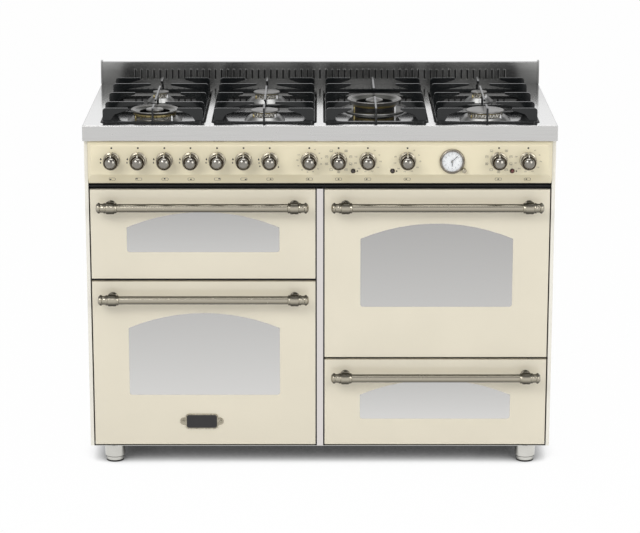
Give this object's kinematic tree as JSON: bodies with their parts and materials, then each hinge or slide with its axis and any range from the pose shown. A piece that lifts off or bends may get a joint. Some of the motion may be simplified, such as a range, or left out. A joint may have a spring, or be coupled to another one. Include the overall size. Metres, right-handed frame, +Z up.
{
  "type": "range cooker",
  "caption": "Wide free-standing range cooker with gas hob, knob panel with clock, stacked ovens with arched windows beside a tall oven, and a low drawer.",
  "frame": {"origin": "floor level, at the middle of the overall width and depth", "axes": "+X to the user's right, +Y to the wall behind, +Z up; the fronts face -Y"},
  "size_m": [1.2, 0.648, 0.9645],
  "materials": {
    "cream_enamel": "gloss enamel",
    "worktop_steel": "fine brushed, satin",
    "case_steel": "satin",
    "strip_grey": "satin",
    "vent_black": "satin",
    "oven_enamel": "gloss enamel",
    "antique_brass": "burnished, dark in the hollows",
    "support_iron": "matt enamel",
    "burner_alloy": "satin",
    "burner_enamel": "satin enamel",
    "window_glass": "reflective",
    "clear_glass": "clear",
    "seal_rubber": "matt",
    "lamp_lens": "clear gloss",
    "hand_black": "satin",
    "element_steel": "heat darkened",
    "gear_brass": "machined",
    "rack_chrome": "bright"
  },
  "bodies": {
    "cabinet": {"side_panels": "cream_enamel", "base_pan": "case_steel", "centre_partition": "strip_grey", "rear_panel": "case_steel", "feet": "case_steel", "worktop": "worktop_steel", "upstand": "worktop_steel", "burner_bodies": "burner_alloy", "burner_caps": "burner_enamel", "fascia": "cream_enamel", "control_gear": "gear_brass", "indicator_lamps": "lamp_lens", "clock_case": "antique_brass", "clock_glass": "clear_glass", "vent_trim": "vent_black", "oven_liner_lower_left": "oven_enamel", "oven_liner_upper_left": "oven_enamel", "oven_liner_right": "oven_enamel", "door_seals": "seal_rubber", "oven_racks": "rack_chrome", "grill_elements": "element_steel", "fan_covers": "oven_enamel", "hinge_leaves": "case_steel", "drawer_runners": "case_steel"},
    "door_upper_left": {"door_upper_left_panel": "cream_enamel", "door_upper_left_glazing": "window_glass", "door_upper_left_frame": "case_steel", "door_upper_left_handle": "antique_brass"},
    "door_lower_left": {"door_lower_left_panel": "cream_enamel", "door_lower_left_glazing": "window_glass", "door_lower_left_frame": "case_steel", "door_lower_left_handle": "antique_brass"},
    "door_right": {"door_right_panel": "cream_enamel", "door_right_glazing": "window_glass", "door_right_frame": "case_steel", "door_right_handle": "antique_brass"},
    "drawer": {"drawer_front": "cream_enamel", "drawer_glazing": "window_glass", "drawer_box": "case_steel", "drawer_handle": "antique_brass"},
    "knob_01": {"knob_01": "antique_brass"},
    "knob_02": {"knob_02": "antique_brass"},
    "knob_03": {"knob_03": "antique_brass"},
    "knob_04": {"knob_04": "antique_brass"},
    "knob_05": {"knob_05": "antique_brass"},
    "knob_06": {"knob_06": "antique_brass"},
    "knob_07": {"knob_07": "antique_brass"},
    "knob_08": {"knob_08": "antique_brass"},
    "knob_09": {"knob_09": "antique_brass"},
    "knob_10": {"knob_10": "antique_brass"},
    "knob_11": {"knob_11": "antique_brass"},
    "knob_12": {"knob_12": "antique_brass"},
    "knob_13": {"knob_13": "antique_brass"},
    "minute_hand": {"minute_hand": "hand_black"},
    "hour_hand": {"hour_hand": "hand_black"},
    "clock_setter": {"clock_setter": "antique_brass"},
    "grate_one": {"grate_one": "support_iron"},
    "grate_two": {"grate_two": "support_iron"},
    "grate_three": {"grate_three": "support_iron"},
    "grate_four": {"grate_four": "support_iron"}
  },
  "joints": [
    {"name": "door_upper_left_hinge", "type": "hinge", "parent": "cabinet", "child": "door_upper_left", "pos_m": [-0.2986, -0.252, 0.505], "axis": [1, 0, 0], "range_deg": [0, 90]},
    {"name": "door_lower_left_hinge", "type": "hinge", "parent": "cabinet", "child": "door_lower_left", "pos_m": [-0.2986, -0.252, 0.058], "axis": [1, 0, 0], "range_deg": [0, 86]},
    {"name": "door_right_hinge", "type": "hinge", "parent": "cabinet", "child": "door_right", "pos_m": [0.2986, -0.252, 0.295], "axis": [1, 0, 0], "range_deg": [0, 90]},
    {"name": "drawer_slide", "type": "slide", "parent": "cabinet", "child": "drawer", "axis": [0, -1, 0], "range_m": [0, 0.3]},
    {"name": "knob_01_turn", "type": "hinge", "parent": "cabinet", "child": "knob_01", "pos_m": [-0.527, -0.276, 0.811], "axis": [0, -1, 0], "range_deg": [0, 110]},
    {"name": "knob_02_turn", "type": "hinge", "parent": "cabinet", "child": "knob_02", "pos_m": [-0.46, -0.276, 0.811], "axis": [0, -1, 0], "range_deg": [0, 110]},
    {"name": "knob_03_turn", "type": "hinge", "parent": "cabinet", "child": "knob_03", "pos_m": [-0.393, -0.276, 0.811], "axis": [0, -1, 0], "range_deg": [0, 110]},
    {"name": "knob_04_turn", "type": "hinge", "parent": "cabinet", "child": "knob_04", "pos_m": [-0.327, -0.276, 0.811], "axis": [0, -1, 0], "range_deg": [0, 110]},
    {"name": "knob_05_turn", "type": "hinge", "parent": "cabinet", "child": "knob_05", "pos_m": [-0.26, -0.276, 0.811], "axis": [0, -1, 0], "range_deg": [0, 110]},
    {"name": "knob_06_turn", "type": "hinge", "parent": "cabinet", "child": "knob_06", "pos_m": [-0.193, -0.276, 0.811], "axis": [0, -1, 0], "range_deg": [0, 110]},
    {"name": "knob_07_turn", "type": "hinge", "parent": "cabinet", "child": "knob_07", "pos_m": [-0.127, -0.276, 0.811], "axis": [0, -1, 0], "range_deg": [0, 250]},
    {"name": "knob_08_turn", "type": "hinge", "parent": "cabinet", "child": "knob_08", "pos_m": [-0.027, -0.276, 0.811], "axis": [0, -1, 0], "range_deg": [-300, 0]},
    {"name": "knob_09_turn", "type": "hinge", "parent": "cabinet", "child": "knob_09", "pos_m": [0.047, -0.276, 0.811], "axis": [0, -1, 0], "range_deg": [-320, 0]},
    {"name": "knob_10_turn", "type": "hinge", "parent": "cabinet", "child": "knob_10", "pos_m": [0.121, -0.276, 0.811], "axis": [0, -1, 0], "range_deg": [-290, 0]},
    {"name": "knob_11_turn", "type": "hinge", "parent": "cabinet", "child": "knob_11", "pos_m": [0.221, -0.276, 0.811], "axis": [0, -1, 0], "range_deg": [-290, 0]},
    {"name": "knob_12_turn", "type": "hinge", "parent": "cabinet", "child": "knob_12", "pos_m": [0.452, -0.276, 0.811], "axis": [0, -1, 0], "range_deg": [-320, 0]},
    {"name": "knob_13_turn", "type": "hinge", "parent": "cabinet", "child": "knob_13", "pos_m": [0.526, -0.276, 0.811], "axis": [0, -1, 0], "range_deg": [-290, 0]},
    {"name": "minute_hand_turn", "type": "hinge", "parent": "cabinet", "child": "minute_hand", "pos_m": [0.3343, -0.276, 0.8086], "axis": [0, -1, 0], "continuous": true},
    {"name": "hour_hand_turn", "type": "hinge", "parent": "cabinet", "child": "hour_hand", "pos_m": [0.3343, -0.276, 0.8086], "axis": [0, -1, 0], "continuous": true},
    {"name": "clock_setter_turn", "type": "hinge", "parent": "cabinet", "child": "clock_setter", "pos_m": [0.3648, -0.276, 0.7852], "axis": [0, -1, 0], "continuous": true},
    {"name": "grate_one_lift", "type": "slide", "parent": "cabinet", "child": "grate_one", "axis": [0, 0, 1], "range_m": [0, 0.06]},
    {"name": "grate_two_lift", "type": "slide", "parent": "cabinet", "child": "grate_two", "axis": [0, 0, 1], "range_m": [0, 0.06]},
    {"name": "grate_three_lift", "type": "slide", "parent": "cabinet", "child": "grate_three", "axis": [0, 0, 1], "range_m": [0, 0.06]},
    {"name": "grate_four_lift", "type": "slide", "parent": "cabinet", "child": "grate_four", "axis": [0, 0, 1], "range_m": [0, 0.06]}
  ],
  "couplings": [
    {"joint": "hour_hand_turn", "follows": "minute_hand_turn", "ratio": 0.083333}
  ]
}
